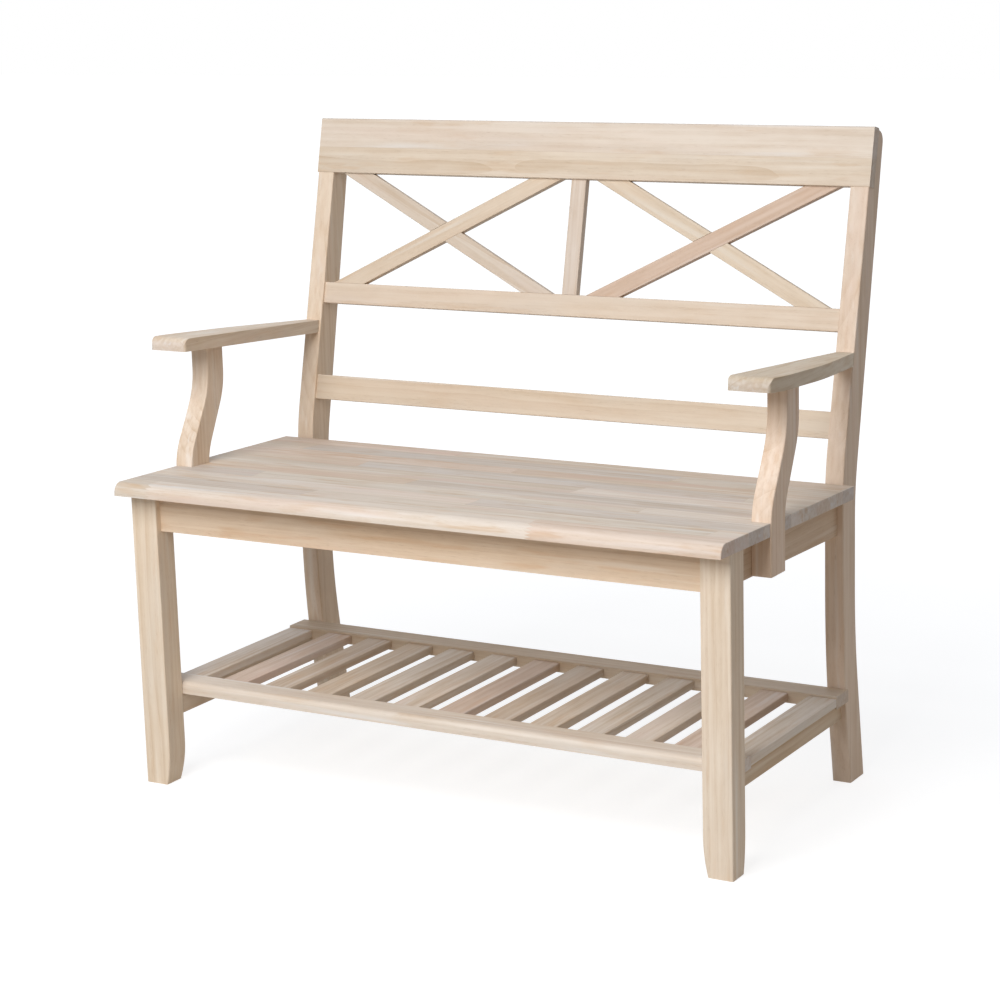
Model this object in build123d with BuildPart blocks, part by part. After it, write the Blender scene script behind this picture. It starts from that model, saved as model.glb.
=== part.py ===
from build123d import *
from math import atan, cos, radians, sin, tan
import os

# Wooden bench with two arms, a back of two X panels and a slatted shelf.
# X runs to the viewer's right, Y from the front to the back, Z up from the floor.
# The origin is on the floor under the middle of the whole bench. Lengths are in millimetres.

# Heights of the seat and the shelf above the floor, and of the back and the arms above the seat
seat_height = 457.0
back_rise = 474.5
arm_rise = 191.5
shelf_height = 147.4

# Clear width between the two legs, and between the two posts
inner_width = 862.0
inner_x = inner_width / 2

# Seat panel
seat_depth = 431.5
seat_thickness = 19.0
seat_tilt = 1.5
seat_nose_share = 0.79
seat_rear_gap = 5.0
seat_front_overhang = 33.3
seat_side_overhang = 2.9

# Front legs
leg_width = 43.5
leg_depth = 40.0
leg_taper_height = 58.0
leg_taper_width = 7.0
leg_taper_depth = 6.0

# Rear posts, in side view
post_width = 28.0
post_depth = 45.0
post_foot_depth = 49.0
post_foot_sweep = 29.3
post_front_knee_height = 185.0
post_rear_knee_height = 220.0
post_hip_stagger = 28.5
post_front_lean = 13.1
post_taper_angle = 1.5
post_front_knee_radius = 1330.0
post_rear_knee_radius = 922.0
post_front_hip_radius = 350.0
post_rear_hip_radius = 387.0
post_top_drop = 9.8
post_top_radius = 16.0

# Crest rail, lapped over the posts
crest_height = 84.2
crest_thickness = 17.5
crest_proud = 1.0
crest_end_overhang = 1.1
crest_edge_radius = 3.0

# Back rails, centre stile and braces
back_rail_setback = 4.0
back_rail_thickness = 18.0
lower_rail_rise = 50.4
lower_rail_width = 38.0
rail_gap = 111.9
middle_rail_width = 32.3
panel_thickness = 12.0
stile_width = 24.5
brace_width = 25.0
brace_stile_offset = 43.0
brace_post_offset = 43.0

# Aprons and corner blocks under the seat
front_apron_height = 56.0
front_apron_thickness = 18.0
front_apron_setback = 10.7
side_apron_height = 55.5
side_apron_thickness = 19.0
rear_apron_thickness = 18.0
rear_apron_inset = 2.5
corner_block_leg = 52.0
corner_block_end = 12.0
corner_block_height = 32.0

# Arms
arm_thickness = 19.0
arm_tilt = 3.83
arm_front_setback = 122.0
arm_front_width = 60.0
arm_inner_overhang = 1.0
arm_rear_inset = 3.0
arm_nose_share = 0.74
arm_corner_radius = 5.0
arm_edge_length_shares = (0.11, 0.27, 0.45, 0.68)
arm_edge_width_shares = (1.07, 1.02, 0.96, 0.79)

# Arm supports, in side view
support_thickness = 29.0
support_foot_depth = 44.8
support_top_depth = 39.7
support_setback = 149.0
support_shift = 51.8
support_drop = 77.0
support_lower_bend = 13.0
support_upper_bend = 106.0
support_rear_bend_drop = 4.0
support_lower_radius = 90.0
support_upper_radius = 110.0

# Slatted shelf and its stretchers
shelf_end_inset = 9.9
shelf_thickness = 17.8
shelf_front_rail_width = 39.0
shelf_rear_rail_width = 42.0
shelf_nose_share = 0.45
slat_count = 13
slat_width = 42.5
slat_thickness = 12.0
stretcher_height = 30.4
stretcher_thickness = 18.0
stretcher_inset = 2.0

# Eased edges
eased_edge = 2.0
slight_edge = 1.2

# Dowels, given as radius and length
frame_dowel = (4.0, 36.0)
short_dowel = (4.0, 24.0)
slim_dowel = (3.0, 24.0)
dowel_side_gap = 0.1
dowel_end_gap = 1.0

# Wood screws, all of one size
screw_length = 32.0
screw_radius = 2.1
screw_head_radius = 4.0
screw_head_height = 2.6
screw_tip_length = 5.0
screw_bite = 13.0
screw_access = 36.0
screw_gap = 0.15

# Places of the fasteners, as shares of the piece that carries them
outer_dowel_shares = (0.14, 0.86)
inner_dowel_shares = (0.32, 0.68)
rail_dowel_shares = (0.27, 0.73)
block_screw_share = 0.67
block_seat_screw_share = 0.3
block_screw_height_shares = (0.33, 0.67)
support_screw_shares = (0.3, 0.72)
arm_dowel_shares = (0.25, 0.75)

# Clearances of fits
fit_gap = 0.3
lap_gap = 0.1
overrun = 5.0

# Heights and depths, worked out from the front of the seat to the rearmost point of the post
back_height = seat_height + back_rise
arm_height = seat_height + arm_rise
post_front_hip_height = seat_height
post_rear_hip_height = post_front_hip_height - post_hip_stagger
post_rear_lean = post_front_lean - post_taper_angle
seat_rise = tan(radians(seat_tilt))
seat_run = seat_depth * cos(radians(seat_tilt))
post_top_height = back_height - post_top_drop
post_top_reach = (post_top_height - post_rear_hip_height) * tan(radians(post_rear_lean))
post_top_rounding = post_top_radius * (1 - sin(radians(post_rear_lean)) - cos(radians(post_rear_lean)))
overall_depth = seat_run + seat_rear_gap + post_depth + post_top_reach + post_top_rounding
seat_front = -overall_depth / 2
leg_front = seat_front + seat_front_overhang
leg_rear = leg_front + leg_depth
post_front = seat_front + seat_run + seat_rear_gap
post_rear = post_front + post_depth
post_foot_front = post_front + post_foot_sweep
post_foot_rear = post_foot_front + post_foot_depth
leg_outer_x = inner_x + leg_width
post_outer_x = inner_x + post_width
seat_width = 2 * (leg_outer_x + seat_side_overhang)

# Planes of the seat's underside, the raked back and the sloping arms
seat_normal = (0, sin(radians(seat_tilt)), cos(radians(seat_tilt)))
seat_drop = seat_thickness / cos(radians(seat_tilt))
seat_under_plane = Plane(origin=(0, seat_front, seat_height - seat_drop), x_dir=(1, 0, 0), z_dir=seat_normal)
seat_side_plane = Plane(
    origin=(0, seat_front, seat_height),
    x_dir=(0, cos(radians(seat_tilt)), -sin(radians(seat_tilt))),
    z_dir=(1, 0, 0),
)
back_plane = Plane(
    origin=(0, post_front, post_front_hip_height),
    x_dir=(1, 0, 0),
    z_dir=(0, -cos(radians(post_front_lean)), sin(radians(post_front_lean))),
)
back_rail_plane = back_plane.offset(-back_rail_setback)
arm_front = seat_front + arm_front_setback
arm_plane = Plane(
    origin=(0, arm_front, arm_height),
    x_dir=(1, 0, 0),
    z_dir=(0, sin(radians(arm_tilt)), cos(radians(arm_tilt))),
)
arm_side_plane = Plane(
    origin=(0, arm_front, arm_height),
    x_dir=(0, cos(radians(arm_tilt)), -sin(radians(arm_tilt))),
    z_dir=(1, 0, 0),
)
arm_under_plane = arm_plane.offset(-arm_thickness)

# Distances up the raked back, from the bend of the posts
back_slope = cos(radians(post_front_lean))
crest_top = (back_height - post_front_hip_height) / back_slope
crest_bottom = crest_top - crest_height
lower_rail_top = lower_rail_rise + lower_rail_width
middle_rail_bottom = lower_rail_top + rail_gap
middle_rail_top = middle_rail_bottom + middle_rail_width
panel_height = crest_bottom - middle_rail_top
post_notch_depth = crest_thickness - crest_proud

# Middles of the braces' cut ends
brace_inner_x = stile_width / 2 + brace_stile_offset
brace_outer_x = inner_x - brace_post_offset
brace_slope = atan(panel_height / (brace_outer_x - brace_inner_x))

# Top of the rear posts, cut square to their rear faces
front_lean_run = tan(radians(post_front_lean))
post_top_rear = post_rear + post_top_reach
post_top_slack = post_top_rear - post_front - (post_top_height - post_front_hip_height) * front_lean_run
post_top_spread = cos(radians(post_rear_lean)) + sin(radians(post_rear_lean)) * front_lean_run
post_top_depth = post_top_slack / post_top_spread
post_top_front = post_top_rear - post_top_depth * cos(radians(post_rear_lean))
post_top_front_height = post_top_height + post_top_depth * sin(radians(post_rear_lean))

# Where the middle of the arm's thickness meets the front of the post
arm_run = tan(radians(arm_tilt))
arm_middle = arm_height - arm_thickness / 2 / cos(radians(arm_tilt))
arm_fall = (post_front - arm_front - post_front_hip_height * front_lean_run) * arm_run
arm_end_height = (arm_middle - arm_fall) / (1 + front_lean_run * arm_run)
arm_end = post_front + (arm_end_height - post_front_hip_height) * front_lean_run
arm_length = (arm_end - arm_front) / cos(radians(arm_tilt))
arm_inner_x = inner_x - arm_inner_overhang
arm_rear_inner_x = inner_x + arm_rear_inset

# Aprons and corner blocks
front_apron_front = leg_front + front_apron_setback
front_apron_rear = front_apron_front + front_apron_thickness
rear_apron_rear = seat_front + seat_run - rear_apron_inset
rear_apron_front = rear_apron_rear - rear_apron_thickness
side_apron_outer_x = inner_x + side_apron_thickness

# Arm supports
support_inner_x = side_apron_outer_x
support_front = seat_front + support_setback
support_foot_rear = support_front + support_foot_depth
support_top_front = support_front + support_shift
support_top_rear = support_top_front + support_top_depth
support_bottom = seat_height - support_drop

# Shelf and stretchers
shelf_width = 2 * (leg_outer_x - shelf_end_inset)
shelf_bottom = shelf_height - shelf_thickness
shelf_front = leg_rear
shelf_rear = post_foot_front - post_foot_sweep * shelf_height / post_front_knee_height
slats_front = shelf_front + shelf_front_rail_width
slats_rear = shelf_rear - shelf_rear_rail_width
slat_pitch = (shelf_width - slat_width) / (slat_count - 1)
slat_bottom = shelf_bottom + (shelf_thickness - slat_thickness) / 2
stretcher_inner_x = inner_x + stretcher_inset
stretcher_bottom = shelf_bottom - stretcher_height
stretcher_middle_height = shelf_bottom - stretcher_height / 2
stretcher_rear = post_foot_front - post_foot_sweep * stretcher_middle_height / post_front_knee_height


def seat_under(y):
    # Height of the seat's underside at a depth
    return seat_height - seat_drop - (y - seat_front) * seat_rise


def across(x, y, z):
    # A fastener that lies along X
    return Plane(origin=(x, y, z), z_dir=(1, 0, 0))


def along(x, y, z):
    # A fastener that lies along Y
    return Plane(origin=(x, y, z), z_dir=(0, 1, 0))


def on_back(x, height, depth):
    # A point of the back, by its distance up the back and behind the posts' front faces
    return back_plane.offset(-depth).from_local_coords((x, height, 0))


def both_sides(places):
    # The given places and their mirror images on the other side
    mirrored = []
    for place in places:
        origin = place.origin
        normal = place.z_dir
        mirrored.append(Plane(origin=(-origin.X, origin.Y, origin.Z), z_dir=(-normal.X, normal.Y, normal.Z)))
    return places + mirrored


def make_dowels(places, dowel):
    radius, length = dowel
    with BuildPart() as dowels:
        with Locations(*places):
            Cylinder(radius, length)
    return dowels


def drill(places, dowel):
    # Dowel holes in the piece being made
    radius, length = dowel
    with Locations(*places):
        Cylinder(radius + dowel_side_gap, length + 2 * dowel_end_gap, mode=Mode.SUBTRACT)


def make_screws(places):
    with BuildPart() as screws:
        with Locations(*places):
            add(screw_blank.part)
    return screws


def bore(places):
    # Screw holes in the piece being made, with the access bore behind each head
    with Locations(*places):
        add(screw_cavity.part, mode=Mode.SUBTRACT)


def screw_profile(gap):
    # Half outline of a countersunk screw that points down, with the top of its head at zero
    with BuildSketch() as outline:
        with BuildLine():
            Polyline(
                (0, 0),
                (screw_head_radius + gap, 0),
                (screw_radius + gap, -screw_head_height),
                (screw_radius + gap, screw_tip_length - screw_length),
                (0, -screw_length - gap),
                close=True,
            )
        make_face()
    return outline.sketch


def apron_outline(front, rear, height):
    # Side view of an apron: its top lies under the seat and its ends are plumb
    with BuildSketch() as outline:
        with BuildLine():
            Polyline(
                (front, seat_under(front)),
                (rear, seat_under(rear)),
                (rear, seat_under(rear) - height),
                (front, seat_under(front) - height),
                close=True,
            )
        make_face()
    return outline.sketch


def post_outline():
    # Side view of a rear post, before the notch for the crest rail
    with BuildSketch() as outline:
        with BuildLine():
            front_face = FilletPolyline(
                (post_foot_front, 0),
                (post_front, post_front_knee_height),
                (post_front, post_front_hip_height),
                (post_top_front, post_top_front_height),
                radius=(post_front_knee_radius, post_front_hip_radius),
            )
            rear_face = FilletPolyline(
                (post_foot_rear, 0),
                (post_rear, post_rear_knee_height),
                (post_rear, post_rear_hip_height),
                (post_top_rear, post_top_height),
                (post_top_front, post_top_front_height),
                radius=(post_rear_knee_radius, post_rear_hip_radius, post_top_radius),
            )
            Line(front_face @ 0, rear_face @ 0)
        make_face()
    return outline.sketch


def support_outline():
    # Side view of an arm support, left long at the top
    lower_bend = seat_height + support_lower_bend
    upper_bend = seat_height + support_upper_bend
    radii = (support_lower_radius, support_upper_radius)
    with BuildSketch() as outline:
        with BuildLine():
            front_face = FilletPolyline(
                (support_front, support_bottom),
                (support_front, lower_bend),
                (support_top_front, upper_bend),
                (support_top_front, arm_height),
                radius=radii,
            )
            rear_face = FilletPolyline(
                (support_foot_rear, support_bottom),
                (support_foot_rear, lower_bend - support_rear_bend_drop),
                (support_top_rear, upper_bend - support_rear_bend_drop),
                (support_top_rear, arm_height),
                radius=radii,
            )
            Line(front_face @ 0, rear_face @ 0)
            Line(front_face @ 1, rear_face @ 1)
        make_face()
    return outline.sketch


def brace_outline(foot_x, head_x, widening):
    # Front view of a brace, from the middle rail up to the crest rail
    half_cut = (brace_width / 2 + widening) / sin(brace_slope)
    with BuildSketch() as outline:
        with BuildLine():
            Polyline(
                (foot_x - half_cut, middle_rail_top),
                (foot_x + half_cut, middle_rail_top),
                (head_x + half_cut, crest_bottom),
                (head_x - half_cut, crest_bottom),
                close=True,
            )
        make_face()
    return outline.sketch


def make_brace(foot_x, head_x, crossing, lap_depth):
    # A brace with a half lap from the given depth for the brace that crosses it
    brace_face = brace_outline(foot_x, head_x, 0)
    lap_face = brace_outline(*crossing, lap_gap)
    with BuildPart() as brace:
        with BuildSketch(back_rail_plane):
            add(brace_face)
        extrude(amount=-panel_thickness)
        fillet(brace.edges().group_by(SortBy.LENGTH)[-1], radius=slight_edge)
        with BuildSketch(back_rail_plane.offset(-lap_depth)):
            add(lap_face)
        extrude(amount=-panel_thickness / 2, mode=Mode.SUBTRACT)
        drill(brace_dowel_places, slim_dowel)
    return brace


def make_back_rail(bottom, width, places):
    # A rail between the posts
    with BuildPart() as rail:
        with BuildSketch(back_rail_plane):
            with Locations((0, bottom)):
                Rectangle(inner_width, width, align=(Align.CENTER, Align.MIN))
        extrude(amount=-back_rail_thickness)
        fillet(rail.edges().filter_by(Axis.X), radius=slight_edge)
        drill(places, frame_dowel)
        drill(brace_dowel_places + stile_dowel_places, slim_dowel)
    return rail


def mirrored(piece):
    with BuildPart() as other:
        mirror(piece.part, about=Plane.YZ)
    return other


# Dowel places in the seat frame
front_apron_middle = front_apron_front + front_apron_thickness / 2
front_apron_dowel_places = both_sides(
    [
        across(inner_x, front_apron_middle, seat_under(front_apron_middle) - front_apron_height * share)
        for share in inner_dowel_shares
    ]
)
side_apron_middle_x = inner_x + side_apron_thickness / 2
side_apron_dowel_places = both_sides(
    [
        along(side_apron_middle_x, y, seat_under(y) - side_apron_height * share)
        for y in (leg_rear, post_front)
        for share in outer_dowel_shares
    ]
)
rear_apron_middle = rear_apron_front + rear_apron_thickness / 2
rear_apron_dowel_places = both_sides(
    [
        across(inner_x, rear_apron_middle, seat_under(rear_apron_middle) - side_apron_height * share)
        for share in inner_dowel_shares
    ]
)
apron_dowel_places = front_apron_dowel_places + side_apron_dowel_places

# Dowel places in the back
back_rail_middle = back_rail_setback + back_rail_thickness / 2


def rail_dowel_places(bottom, width):
    places = []
    for share in rail_dowel_shares:
        point = on_back(inner_x, bottom + width * share, back_rail_middle)
        places.append(across(point.X, point.Y, point.Z))
    return both_sides(places)


middle_rail_dowel_places = rail_dowel_places(middle_rail_bottom, middle_rail_width)
lower_rail_dowel_places = rail_dowel_places(lower_rail_rise, lower_rail_width)
back_rail_dowel_places = middle_rail_dowel_places + lower_rail_dowel_places
crest_dowel_places = both_sides(
    [
        Plane(
            origin=on_back(inner_x + post_width / 2, crest_bottom + crest_height * share, post_notch_depth),
            z_dir=back_plane.z_dir,
        )
        for share in rail_dowel_shares
    ]
)
panel_dowel_depth = back_rail_setback + panel_thickness / 2
brace_dowel_shift = slim_dowel[1] / 4 / tan(brace_slope)
brace_dowel_places = both_sides(
    [
        Plane(origin=on_back(x, height, panel_dowel_depth), z_dir=back_plane.y_dir)
        for height in (middle_rail_top, crest_bottom)
        for x in (brace_inner_x + brace_dowel_shift, brace_outer_x - brace_dowel_shift)
    ]
)
stile_dowel_places = [
    Plane(origin=on_back(0, height, panel_dowel_depth), z_dir=back_plane.y_dir)
    for height in (middle_rail_top, crest_bottom)
]

# Dowel places of the arms
arm_end_width = post_outer_x - arm_rear_inner_x
arm_post_dowel_places = both_sides(
    [
        Plane(
            origin=(arm_rear_inner_x + arm_end_width * share, arm_end, arm_end_height),
            z_dir=arm_plane.y_dir,
        )
        for share in arm_dowel_shares
    ]
)
support_top_middle = (support_top_front + support_top_rear) / 2
arm_depth = arm_thickness / cos(radians(arm_tilt))
arm_under_height = arm_height - arm_depth - (support_top_middle - arm_front) * arm_run
arm_support_dowel_places = both_sides(
    [
        Plane(
            origin=(support_inner_x + support_thickness / 2, support_top_middle, arm_under_height),
            z_dir=arm_plane.z_dir,
        )
    ]
)

# Dowel places of the shelf and its stretchers
stretcher_middle_x = stretcher_inner_x + stretcher_thickness / 2
stretcher_dowel_places = both_sides(
    [
        along(stretcher_middle_x, y, stretcher_bottom + stretcher_height * share)
        for y in (leg_rear, stretcher_rear)
        for share in rail_dowel_shares
    ]
)
slat_middles = [slat_pitch * (index - (slat_count - 1) / 2) for index in range(slat_count)]
slat_dowel_places = [
    along(middle + slat_width * (share - 1 / 2), y, shelf_height - shelf_thickness / 2)
    for middle in slat_middles
    for y in (slats_front, slats_rear)
    for share in rail_dowel_shares
]

# Screw places: each plane's normal points from the tip to the head
screw_reach = screw_length - screw_bite
block_screw_offset = corner_block_leg * block_screw_share
block_seat_offset = corner_block_leg * block_seat_screw_share


def block_screw_places(corner_y, direction):
    # Two screws into the aprons and one up into the seat, for the block at a right-hand corner
    lower_share, upper_share = block_screw_height_shares
    side_y = corner_y + direction * block_screw_offset
    apron_x = inner_x - block_screw_offset
    seat_y = corner_y + direction * block_seat_offset
    to_side = Plane(
        origin=(inner_x - screw_reach, side_y, seat_under(side_y) - corner_block_height * lower_share),
        z_dir=(-1, 0, 0),
    )
    to_apron = Plane(
        origin=(
            apron_x,
            corner_y + direction * screw_reach,
            seat_under(corner_y) - corner_block_height * upper_share,
        ),
        z_dir=(0, direction, 0),
    )
    to_seat = Plane(
        origin=(inner_x - block_seat_offset, seat_y, seat_under(seat_y) - screw_reach),
        z_dir=(0, 0, -1),
    )
    return [to_side, to_apron], [to_seat]


front_block_screws, front_seat_screws = block_screw_places(front_apron_rear, 1)
rear_block_screws, rear_seat_screws = block_screw_places(rear_apron_front, -1)
block_screws = both_sides(front_block_screws + rear_block_screws)
seat_screws = both_sides(front_seat_screws + rear_seat_screws)
support_middle = (support_front + support_foot_rear) / 2
support_screws = both_sides(
    [
        Plane(
            origin=(inner_x, support_middle, seat_under(support_middle) - side_apron_height * share),
            z_dir=(-1, 0, 0),
        )
        for share in support_screw_shares
    ]
)
shelf_screws = both_sides(
    [
        Plane(origin=(stretcher_middle_x, y, shelf_bottom - screw_reach), z_dir=(0, 0, -1))
        for y in ((shelf_front + slats_front) / 2, (slats_rear + shelf_rear) / 2)
    ]
)

# A screw, and the cavity that it leaves in the wood
screw_half = screw_profile(0)
with BuildPart() as screw_blank:
    with BuildSketch(Plane.XZ):
        add(screw_half)
    revolve(axis=Axis.Z)

screw_cavity_half = screw_profile(screw_gap)
with BuildPart() as screw_cavity:
    with BuildSketch(Plane.XZ):
        add(screw_cavity_half)
    revolve(axis=Axis.Z)
    Cylinder(screw_head_radius + screw_gap, screw_access, align=(Align.CENTER, Align.CENTER, Align.MIN))

# Rear posts
post_side = post_outline()
with BuildPart() as post_blank:
    with BuildSketch(Plane.YZ.offset(inner_x)):
        add(post_side)
    extrude(amount=post_width)

with BuildPart() as rear_post_right:
    add(post_blank.part)
    post_side_edges = rear_post_right.faces().filter_by(Axis.X).edges()
    fillet(post_side_edges.filter_by(Axis.Y, reverse=True), radius=eased_edge)
    with BuildSketch(back_plane):
        with Locations((inner_x - overrun, crest_bottom)):
            Rectangle(post_width + 2 * overrun, crest_height + overrun, align=Align.MIN)
    extrude(amount=-post_notch_depth, mode=Mode.SUBTRACT)
    drill(side_apron_dowel_places + back_rail_dowel_places, frame_dowel)
    drill(crest_dowel_places, short_dowel)
    drill(arm_post_dowel_places + stretcher_dowel_places, slim_dowel)

rear_post_left = mirrored(rear_post_right)

# Front legs
with BuildPart() as front_leg_right:
    with BuildSketch(Plane.XZ.offset(-leg_front)):
        with BuildLine():
            Polyline(
                (inner_x + leg_taper_width, 0),
                (leg_outer_x, 0),
                (leg_outer_x, seat_height),
                (inner_x, seat_height),
                (inner_x, leg_taper_height),
            )
            TangentArc((inner_x, leg_taper_height), (inner_x + leg_taper_width, 0), tangent=(0, -1))
        make_face()
    extrude(amount=-leg_depth)
    with BuildSketch(Plane.YZ.offset(inner_x)):
        with BuildLine():
            Polyline(
                (leg_rear - leg_taper_depth, 0),
                (leg_front, 0),
                (leg_front, seat_height),
                (leg_rear, seat_height),
                (leg_rear, leg_taper_height),
            )
            TangentArc((leg_rear, leg_taper_height), (leg_rear - leg_taper_depth, 0), tangent=(0, -1))
        make_face()
    extrude(amount=leg_width, mode=Mode.INTERSECT)
    fillet(front_leg_right.edges().filter_by(Axis.Z), radius=eased_edge)
    split(bisect_by=seat_under_plane, keep=Keep.BOTTOM)
    drill(apron_dowel_places, frame_dowel)
    drill(stretcher_dowel_places, slim_dowel)

front_leg_left = mirrored(front_leg_right)

# Crest rail
crest_width = 2 * (post_outer_x + crest_end_overhang)
with BuildPart() as crest_rail:
    with BuildSketch(back_plane.offset(crest_proud)):
        with Locations((0, crest_bottom)):
            Rectangle(crest_width, crest_height, align=(Align.CENTER, Align.MIN))
    extrude(amount=-crest_thickness)
    crest_edges = crest_rail.edges().filter_by(Axis.X).group_by(Axis.Z)
    fillet(crest_edges[-2:], radius=crest_edge_radius)
    fillet(crest_edges[:2], radius=slight_edge)
    drill(crest_dowel_places, short_dowel)
    drill(brace_dowel_places + stile_dowel_places, slim_dowel)

# Back rails and centre stile
middle_back_rail = make_back_rail(middle_rail_bottom, middle_rail_width, middle_rail_dowel_places)
lower_back_rail = make_back_rail(lower_rail_rise, lower_rail_width, lower_rail_dowel_places)

with BuildPart() as centre_stile:
    with BuildSketch(back_rail_plane):
        with Locations((0, middle_rail_top)):
            Rectangle(stile_width, panel_height, align=(Align.CENTER, Align.MIN))
    extrude(amount=-panel_thickness)
    fillet(centre_stile.edges().group_by(SortBy.LENGTH)[-1], radius=slight_edge)
    drill(stile_dowel_places, slim_dowel)

# Braces: the rising one passes in front at both crossings
right_rising = (brace_inner_x, brace_outer_x)
right_falling = (brace_outer_x, brace_inner_x)
left_rising = (-brace_outer_x, -brace_inner_x)
left_falling = (-brace_inner_x, -brace_outer_x)
brace_right_rising = make_brace(*right_rising, right_falling, panel_thickness / 2)
brace_right_falling = make_brace(*right_falling, right_rising, 0)
brace_left_rising = make_brace(*left_rising, left_falling, panel_thickness / 2)
brace_left_falling = make_brace(*left_falling, left_rising, 0)

# Aprons
front_apron_side = apron_outline(front_apron_front, front_apron_rear, front_apron_height)
with BuildPart() as front_apron:
    with BuildSketch(Plane.YZ):
        add(front_apron_side)
    extrude(amount=inner_x, both=True)
    fillet(front_apron.edges().filter_by(Axis.X).group_by(Axis.Z)[0], radius=slight_edge)
    drill(front_apron_dowel_places, frame_dowel)
    bore(block_screws)

rear_apron_side = apron_outline(rear_apron_front, rear_apron_rear, side_apron_height)
with BuildPart() as rear_apron:
    with BuildSketch(Plane.YZ):
        add(rear_apron_side)
    extrude(amount=inner_x, both=True)
    drill(rear_apron_dowel_places, short_dowel)
    bore(block_screws)

side_apron_side = apron_outline(leg_rear, post_front, side_apron_height)
with BuildPart() as side_apron_right:
    with BuildSketch(Plane.YZ.offset(inner_x)):
        add(side_apron_side)
    extrude(amount=side_apron_thickness)
    drill(side_apron_dowel_places, frame_dowel)
    drill(rear_apron_dowel_places, short_dowel)
    bore(block_screws + support_screws)

side_apron_left = mirrored(side_apron_right)


def make_corner_block(corner_y, direction):
    # A block in the corner between two aprons, with its long face across the corner
    with BuildPart() as block:
        with BuildSketch(Plane.XY):
            with BuildLine():
                Polyline(
                    (inner_x, corner_y),
                    (inner_x - corner_block_leg, corner_y),
                    (inner_x - corner_block_leg, corner_y + direction * corner_block_end),
                    (inner_x - corner_block_end, corner_y + direction * corner_block_leg),
                    (inner_x, corner_y + direction * corner_block_leg),
                    close=True,
                )
            make_face()
        extrude(amount=seat_height)
        split(bisect_by=seat_under_plane, keep=Keep.BOTTOM)
        split(bisect_by=seat_under_plane.offset(-corner_block_height), keep=Keep.TOP)
        bore(block_screws + seat_screws)
    return block


corner_block_front_right = make_corner_block(front_apron_rear, 1)
corner_block_rear_right = make_corner_block(rear_apron_front, -1)
corner_block_front_left = mirrored(corner_block_front_right)
corner_block_rear_left = mirrored(corner_block_rear_right)

# Arm supports, and the slot that each needs in the seat
support_side = support_outline()
with BuildPart() as arm_support_right:
    with BuildSketch(Plane.YZ.offset(support_inner_x)):
        add(support_side)
    extrude(amount=support_thickness)
    support_side_edges = arm_support_right.faces().filter_by(Axis.X).edges()
    fillet(support_side_edges.filter_by(Axis.Y, reverse=True), radius=eased_edge)
    split(bisect_by=arm_under_plane, keep=Keep.BOTTOM)
    drill(arm_support_dowel_places, short_dowel)
    bore(support_screws)

arm_support_left = mirrored(arm_support_right)

with BuildPart() as support_slot:
    with BuildSketch(Plane.YZ.offset(support_inner_x - fit_gap)):
        add(support_side)
        offset(amount=fit_gap)
    extrude(amount=support_thickness + overrun)

# Seat panel
with BuildPart() as seat_panel:
    with BuildSketch(seat_side_plane) as seat_side:
        Rectangle(seat_depth, seat_thickness, align=(Align.MIN, Align.MAX))
        seat_front_top = seat_side.vertices().group_by(Axis.X)[0].sort_by(Axis.Y)[-1]
        fillet(seat_front_top, radius=seat_thickness * seat_nose_share)
    extrude(amount=seat_width / 2, both=True)
    fillet(seat_panel.faces().filter_by(Axis.X).edges(), radius=slight_edge)
    add(support_slot.part, mode=Mode.SUBTRACT)
    add(mirrored(support_slot).part, mode=Mode.SUBTRACT)
    bore(seat_screws)

# Arms
with BuildPart() as arm_right:
    with BuildSketch(arm_plane) as arm_top:
        with BuildLine():
            outer_points = [
                (arm_inner_x + arm_front_width * width_share, -arm_length * length_share)
                for length_share, width_share in zip(arm_edge_length_shares, arm_edge_width_shares)
            ]
            Spline(
                (arm_inner_x + arm_front_width, 0),
                *[(x, -y) for x, y in outer_points],
                (post_outer_x, arm_length),
            )
            Polyline(
                (post_outer_x, arm_length),
                (post_outer_x, arm_length + post_depth / 2),
                (arm_rear_inner_x, arm_length + post_depth / 2),
                (arm_rear_inner_x, arm_length),
                (arm_inner_x, 0),
                (arm_inner_x + arm_front_width, 0),
            )
        make_face()
        fillet(arm_top.vertices().group_by(Axis.Y)[0], radius=arm_corner_radius)
    extrude(amount=-arm_thickness)
    with BuildSketch(arm_side_plane.offset(inner_x - overrun)) as arm_side:
        Rectangle(arm_length + post_depth, arm_thickness, align=(Align.MIN, Align.MAX))
        arm_front_top = arm_side.vertices().group_by(Axis.X)[0].sort_by(Axis.Y)[-1]
        fillet(arm_front_top, radius=arm_thickness * arm_nose_share)
    extrude(amount=2 * arm_front_width, mode=Mode.INTERSECT)
    add(post_blank.part, mode=Mode.SUBTRACT)
    drill(arm_post_dowel_places, slim_dowel)
    drill(arm_support_dowel_places, short_dowel)

arm_left = mirrored(arm_right)

# Shelf stretchers, scribed to the sloping feet of the posts
with BuildPart() as shelf_stretcher_right:
    with BuildSketch(Plane.XZ.offset(-leg_rear)):
        with Locations((stretcher_inner_x, stretcher_bottom)):
            Rectangle(stretcher_thickness, stretcher_height, align=Align.MIN)
    extrude(amount=leg_rear - post_foot_front)
    fillet(shelf_stretcher_right.edges().filter_by(Axis.Y), radius=slight_edge)
    add(post_blank.part, mode=Mode.SUBTRACT)
    drill(stretcher_dowel_places, slim_dowel)
    bore(shelf_screws)

shelf_stretcher_left = mirrored(shelf_stretcher_right)

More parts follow.
